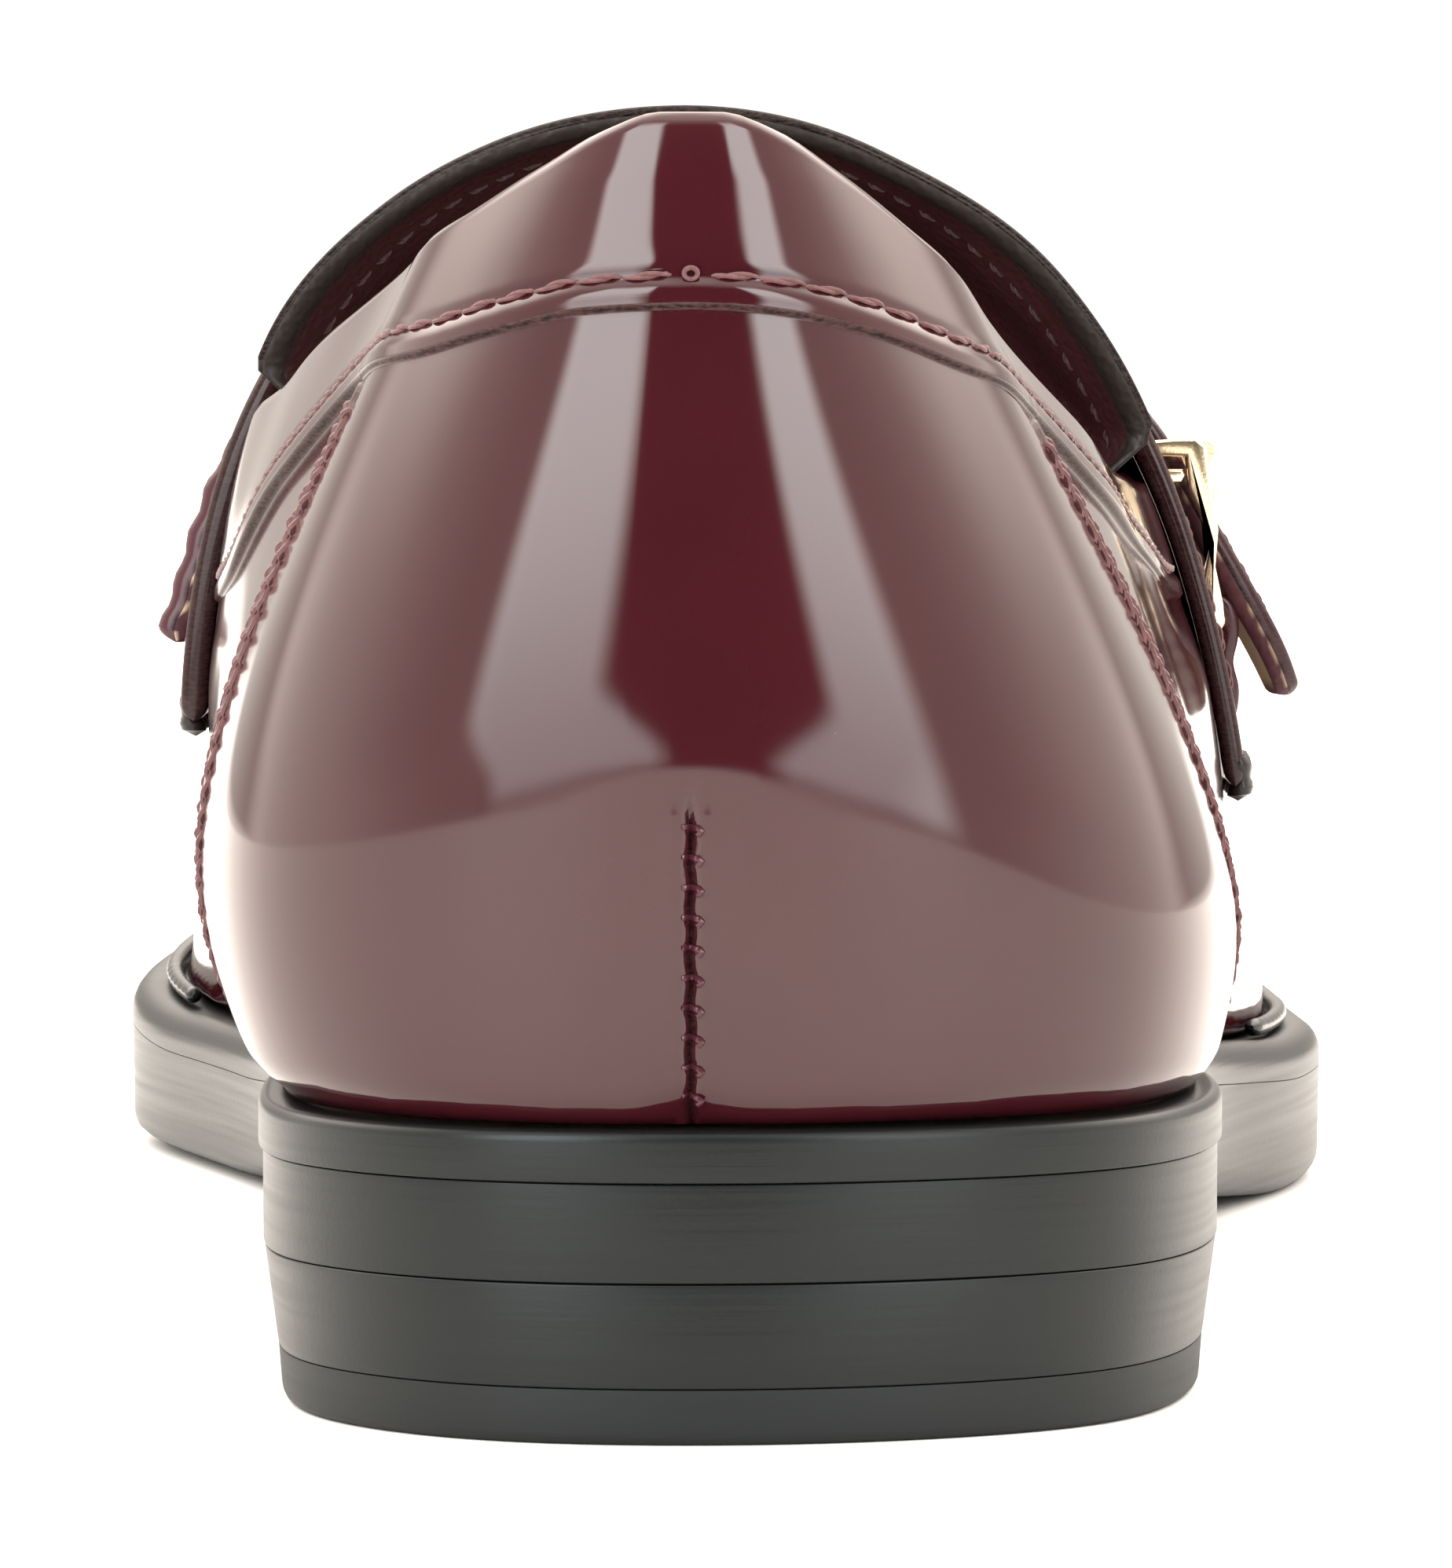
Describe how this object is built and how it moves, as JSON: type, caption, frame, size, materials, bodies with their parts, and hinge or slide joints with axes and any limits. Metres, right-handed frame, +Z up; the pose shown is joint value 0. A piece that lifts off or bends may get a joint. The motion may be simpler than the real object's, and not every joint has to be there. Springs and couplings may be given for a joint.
{
  "type": "buckle loafer",
  "caption": "Right buckle loafer: a hollow leather upper with tongue, saddle and side buckle on a welted rubber sole with a low stacked heel",
  "frame": {"origin": "the middle of the bounding box, on the ground", "axes": "+Z up, +Y from heel to toe, +X towards the outer side of the foot, where the buckle is"},
  "size_m": [0.1012, 0.2747, 0.0868],
  "materials": {
    "burgundy_leather": "polished dark burgundy leather",
    "lining_leather": "dark burgundy leather, soft sheen",
    "strap_leather": "polished plum leather with a tan underside",
    "pale_gold": "polished pale gold plating",
    "footbed_leather": "plain tan leather over board",
    "black_welt": "smooth black-grey sole edge",
    "black_rubber": "matte black-grey rubber"
  },
  "bodies": {
    "root": {"upper": "burgundy_leather", "saddle": "burgundy_leather", "buckle_tab": "burgundy_leather", "tongue": "lining_leather", "strap": "strap_leather", "buckle_frame": "pale_gold", "buckle_prong": "pale_gold", "insole": "footbed_leather", "welt": "black_welt", "welt_bead": "black_welt", "outsole": "black_rubber", "heel_block": "black_welt", "heel_top_piece": "black_rubber"}
  },
  "joints": []
}
